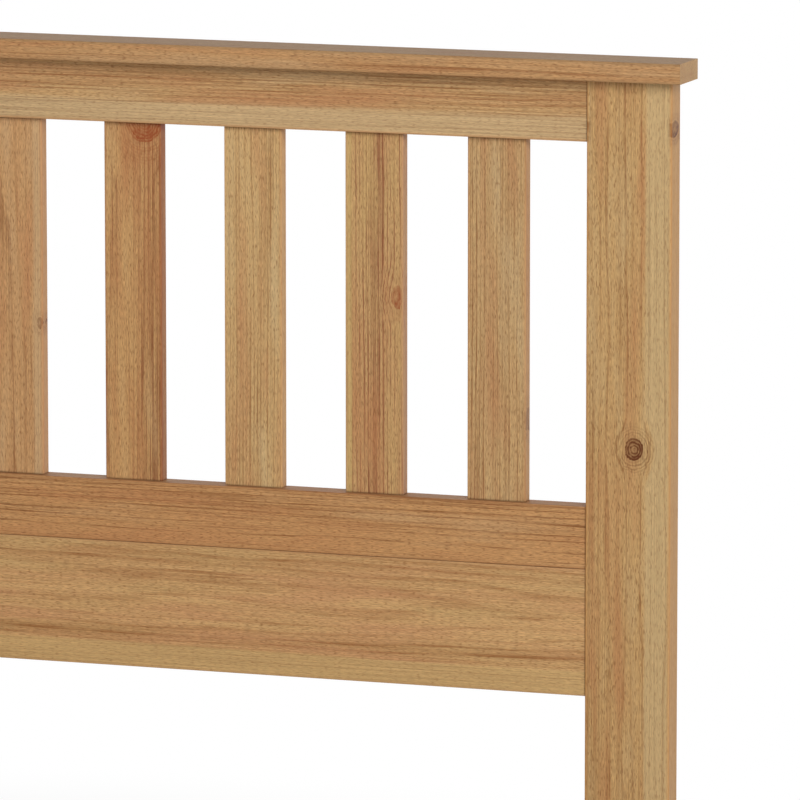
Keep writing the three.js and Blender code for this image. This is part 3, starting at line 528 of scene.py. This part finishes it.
def plated(name, tone, roughness, cloud):
    """A plated or oxidised metal. cloud is the width in millimetres of its faint uneven patches."""
    material, tree = bare_material(name)
    place = add(tree, "ShaderNodeTexCoord")["Object"]
    patches = add(tree, "ShaderNodeTexNoise", {"Vector": place, "Scale": 1 / (cloud * MM), "Detail": 3})
    uneven = add(tree, "ShaderNodeMapRange", {"Value": patches[0], "From Min": 0.3, "From Max": 0.7,
                                              "To Min": roughness * 0.8, "To Max": roughness * 1.25})[0]
    level = add(tree, "ShaderNodeMapRange", {"Value": patches[0], "From Min": 0.3, "From Max": 0.7,
                                             "To Min": 0.9, "To Max": 1.06})[0]
    color = add(tree, "ShaderNodeVectorMath", {0: linear(tone)[:3], "Scale": level}, operation="SCALE")[0]
    fine = add(tree, "ShaderNodeTexNoise",
               {"Vector": place, "Scale": 1 / (GRIT_WIDTH * MM), "Detail": 1})[0]
    normal = add(tree, "ShaderNodeBump",
                 {"Strength": 0.3, "Distance": GRIT_HEIGHT * MM, "Height": fine})[0]
    metal = add(tree, "ShaderNodeBsdfPrincipled",
                {"Base Color": color, "Metallic": 1, "Roughness": uneven, "Normal": normal})[0]
    add(tree, "ShaderNodeOutputMaterial", {"Surface": metal})
    return material


DEBURRING = 0.25
zinc = plated("zinc_plated_steel", "#C4C8CA", 0.34, 9)
for end in ("head", "foot"):
    dress(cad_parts["beam_hanger_" + end], zinc, DEBURRING)

# Bed bolts and barrel nuts: hexagon-socket bolts plated dark bronze, and steel nuts blackened in hot
# oxide, which stays matt and a little oily
TUMBLING = 0.2
bronze = plated("bronze_plated_steel", "#5E4A39", 0.36, 5)
oxide = plated("black_oxide_steel", "#35363A", 0.5, 4)
for end in ("head", "foot"):
    for side in ("left", "right"):
        dress(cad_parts[f"bed_bolt_{end}_{side}"], bronze, TUMBLING)
        dress(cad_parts[f"barrel_nut_{end}_{side}"], oxide, TUMBLING)

# Glides: round pads of dark moulded nylon nailed under the posts and legs, with the fine matt skin of
# the mould and a little dust.
SKIN_WIDTH, SKIN_HEIGHT = 0.8, 0.04
DUST_WIDTH = 7
NYLON_IOR = 1.53
MOULDED_EDGE = 0.3
nylon, tree = bare_material("moulded_nylon")
place = add(tree, "ShaderNodeTexCoord")["Object"]
skin = add(tree, "ShaderNodeTexNoise",
           {"Vector": place, "Scale": 1 / (SKIN_WIDTH * MM), "Detail": 2})[0]
dust = add(tree, "ShaderNodeTexNoise",
           {"Vector": place, "Scale": 1 / (DUST_WIDTH * MM), "Detail": 3})[0]
dust = add(tree, "ShaderNodeMapRange", {"Value": dust, "From Min": 0.35, "From Max": 0.65})[0]
color = add(tree, "ShaderNodeMix", {0: dust, MIX_A: linear("#383634"), MIX_B: linear("#45423F")},
            data_type="RGBA")[MIX_COLOR]
rough = add(tree, "ShaderNodeMapRange", {"Value": dust, "To Min": 0.5, "To Max": 0.62})[0]
normal = add(tree, "ShaderNodeBump",
             {"Strength": 0.4, "Distance": SKIN_HEIGHT * MM, "Height": skin})[0]
plastic = add(tree, "ShaderNodeBsdfPrincipled",
              {"Base Color": color, "Roughness": rough, "Normal": normal, "IOR": NYLON_IOR})[0]
add(tree, "ShaderNodeOutputMaterial", {"Surface": plastic})
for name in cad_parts:
    if "_glide_" in name:
        dress(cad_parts[name], nylon, MOULDED_EDGE)

# Wood screws: zinc-plated steel with a cross recess. Flat heads hold the deck slats to the cleats and
# beam, and pan heads hold the cleats to the side rails and the hangers to the boards.
SCREW_SIDES = 20
SHANK_RADIUS = 2
POINT_LENGTH = 5
ROLLED_EDGE = 0.12
CROSS_ARM, CROSS_HALF, CROSS_DEPTH, CROSS_TAPER = 2.5, 0.62, 1.3, 0.7
FLAT_HEAD = ((4.1, 0), (4.0, -0.35), (SHANK_RADIUS, -2.45))
PAN_HEAD = ((2.9, 2.2), (3.6, 1.9), (4.0, 1.3), (4.1, 0.7), (4.1, 0), (SHANK_RADIUS, 0))
screw_zinc = plated("zinc_plated_screw_steel", "#CDCFC8", 0.3, 3)


def drive_screw(shape, place, outward, head, length, turn):
    """Adds one screw to a mesh, with its head's seat at place. head is a list of (radius, height)
    from its top, and turn is where its cross stopped."""
    angles = [2 * math.pi * i / SCREW_SIDES for i in range(SCREW_SIDES)]
    rings = []
    for radius, height in (*head, (SHANK_RADIUS, POINT_LENGTH - length)):
        rings.append([shape.verts.new((radius * math.cos(a), radius * math.sin(a), height)) for a in angles])
    point = shape.verts.new((0, 0, -length))
    for i in range(SCREW_SIDES):
        after = (i + 1) % SCREW_SIDES
        for upper, lower in zip(rings, rings[1:]):
            shape.faces.new((upper[i], lower[i], lower[after], upper[after]))
        shape.faces.new((rings[-1][i], point, rings[-1][after]))
    quarter = [(CROSS_ARM, -CROSS_HALF), (CROSS_ARM, CROSS_HALF), (CROSS_HALF, CROSS_HALF)]
    outline = []
    for i in range(4):
        outline += quarter
        quarter = [(-y, x) for x, y in quarter]
    top = head[0][1]
    mouth = [shape.verts.new((x, y, top)) for x, y in outline]
    foot = [shape.verts.new((x * CROSS_TAPER, y * CROSS_TAPER, top - CROSS_DEPTH)) for x, y in outline]
    for i in range(len(outline)):
        after = (i + 1) % len(outline)
        shape.faces.new((mouth[i], mouth[after], foot[after], foot[i]))
    shape.faces.new(foot)
    rim = [shape.edges.get((ring[i], ring[(i + 1) % len(ring)])) for ring in (rings[0], mouth)
           for i in range(len(ring))]
    bmesh.ops.triangle_fill(shape, edges=rim, use_beauty=True)
    made = [v for ring in rings for v in ring] + [point] + mouth + foot
    lie = Vector(outward).to_track_quat("Z", "Y").to_matrix().to_4x4() @ Matrix.Rotation(turn, 4, "Z")
    bmesh.ops.transform(shape, matrix=Matrix.Translation(place) @ lie, verts=made)


def screws(name, placed, head, length):
    """Makes one piece of like screws, each a solid of its own, turned as the driver left them. placed
    is a list of (place, way outward)."""
    shape = bmesh.new()
    for place, outward in placed:
        drive_screw(shape, place, outward, head, length, random.uniform(0, math.pi / 2))
    bmesh.ops.recalc_face_normals(shape, faces=shape.faces)
    bmesh.ops.scale(shape, vec=(MM, MM, MM), verts=shape.verts)
    mesh = bpy.data.meshes.new(name)
    shape.to_mesh(mesh)
    shape.free()
    piece = bpy.data.objects.new(name, mesh)
    bpy.context.scene.collection.objects.link(piece)
    dress(piece, screw_zinc, ROLLED_EDGE)
    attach(piece, "root")


random.seed(7)
DECK_SCREW_LENGTH, CLEAT_SCREW_LENGTH, HANGER_SCREW_LENGTH = 40, 46, 22
DECK_SCREW_SUNK = 0.3
CLEAT_SCREWS = 6
CLEAT_SCREW_SUNK = 3
HANGER_PLATE = 2
FLANGE_SCREW_X = 32.3
FLANGE_SCREW_SPACING = 20
low, high = [[v / MM for v in corner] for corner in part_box("cleat_right")]
cleat_face = low[0]
cleat_length = high[1] - low[1]
cleat_x = (low[0] + high[0]) / 2
cleat_z = (low[2] + high[2]) / 2
placed = []
for i in range(DECK_SLATS):
    low, high = [[v / MM for v in corner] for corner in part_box(f"deck_slat_{i + 1}")]
    for x in (-cleat_x, 0, cleat_x):
        placed.append(((x, (low[1] + high[1]) / 2, high[2] - DECK_SCREW_SUNK), (0, 0, 1)))
screws("deck_screws", placed, FLAT_HEAD, DECK_SCREW_LENGTH)
placed = []
for i in range(CLEAT_SCREWS):
    y = ((i + 0.5) / CLEAT_SCREWS - 0.5) * cleat_length
    for side in (-1, 1):
        placed.append(((side * (cleat_face + CLEAT_SCREW_SUNK), y, cleat_z), (-side, 0, 0)))
screws("cleat_screws", placed, PAN_HEAD, CLEAT_SCREW_LENGTH)
placed = []
for end in ("head", "foot"):
    low, high = [[v / MM for v in corner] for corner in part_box("beam_hanger_" + end)]
    if end == "head":
        face, inward = high[1] - HANGER_PLATE, -1
    else:
        face, inward = low[1] + HANGER_PLATE, 1
    for x in (-FLANGE_SCREW_X, FLANGE_SCREW_X):
        for step in (-0.5, 0.5):
            z = (low[2] + high[2]) / 2 + step * FLANGE_SCREW_SPACING
            placed.append(((x, face, z), (0, inward, 0)))
screws("hanger_screws", placed, PAN_HEAD, HANGER_SCREW_LENGTH)

# Floor: a pale round floor that fades to white between two distances from the bed's middle, so that
# the main view stays white behind the bed and other views still show a soft shadow.
FLOOR_RADIUS = 8
FLOOR_SIDES = 96
FADE_START, FADE_END, FADE_LEVEL = 1.5, 2.9, 0.45
floor_mesh = bpy.data.meshes.new("floor")
shape = bmesh.new()
bmesh.ops.create_circle(shape, cap_ends=True, segments=FLOOR_SIDES, radius=FLOOR_RADIUS)
shape.to_mesh(floor_mesh)
shape.free()
floor = bpy.data.objects.new("floor", floor_mesh)
bpy.context.scene.collection.objects.link(floor)
floor_material, tree = bare_material("pale_floor")
ground = add(tree, "ShaderNodeTexCoord")["Object"]
ground = add(tree, "ShaderNodeVectorMath", {0: ground}, operation="LENGTH")[1]
ground = add(tree, "ShaderNodeMapRange", {"Value": ground, "From Min": FADE_START, "From Max": FADE_END,
                                          "To Min": FADE_LEVEL}, interpolation_type="SMOOTHSTEP")[0]
seen = add(tree, "ShaderNodeLightPath")
direct = add(tree, "ShaderNodeMath", {0: seen["Is Camera Ray"], 1: seen["Is Glossy Ray"]},
             operation="MAXIMUM")[0]
ground = add(tree, "ShaderNodeMath", {0: ground, 1: direct}, operation="MULTIPLY")[0]
matt = add(tree, "ShaderNodeBsdfDiffuse", {"Color": linear("#E6E4E0")})[0]
white = add(tree, "ShaderNodeEmission", {"Color": (1, 1, 1, 1), "Strength": 1})[0]
both = add(tree, "ShaderNodeMixShader", {0: ground, 1: matt, 2: white})[0]
add(tree, "ShaderNodeOutputMaterial", {"Surface": both})
floor_mesh.materials.append(floor_material)

# Light: a soft surround that is dimmer overhead, one panel high in front and to the right, and a
# weaker one low behind. To the camera and in reflections the surround is plain white.
HORIZON_LEVEL, ZENITH_LEVEL = 1.13, 0
SKY_FALLOFF = 1.7
world = bpy.data.worlds.new("studio")
bpy.context.scene.world = world
world.use_nodes = True
tree = world.node_tree
tree.nodes.clear()
seen = add(tree, "ShaderNodeLightPath")
direct = add(tree, "ShaderNodeMath", {0: seen["Is Camera Ray"], 1: seen["Is Glossy Ray"]},
             operation="MAXIMUM")[0]
direct = add(tree, "ShaderNodeMath", {0: direct, 1: seen["Is Transmission Ray"]}, operation="MAXIMUM")[0]
height = add(tree, "ShaderNodeSeparateXYZ", {0: add(tree, "ShaderNodeTexCoord")["Generated"]})["Z"]
level = add(tree, "ShaderNodeMapRange", {"Value": height, "To Min": 1, "To Max": ZENITH_LEVEL})[0]
level = add(tree, "ShaderNodeMath", {0: level, 1: SKY_FALLOFF}, operation="POWER")[0]
level = add(tree, "ShaderNodeMath", {0: level, 1: HORIZON_LEVEL}, operation="MULTIPLY")[0]
level = add(tree, "ShaderNodeMix", {0: direct, FLOAT_A: level, FLOAT_B: 1.0})[0]
sky = add(tree, "ShaderNodeBackground", {"Color": (1, 1, 1, 1), "Strength": level})[0]
add(tree, "ShaderNodeOutputWorld", {"Surface": sky})
for name, place, aim, size, power in (
    ("front_panel", (4.0, -4.15, 4.1), (0.4, 1, 0.8), 3.2, 282),
    ("back_panel", (-3.5, 6, 0.4), (0, 0, 0.6), 1.6, 90),
):
    panel_data = bpy.data.lights.new(name, "AREA")
    panel_data.shape = "SQUARE"
    panel_data.size = size
    panel_data.energy = power
    panel = bpy.data.objects.new(name, panel_data)
    panel.location = place
    panel.rotation_euler = (Vector(aim) - panel.location).to_track_quat("-Z", "Y").to_euler()
    bpy.context.scene.collection.objects.link(panel)
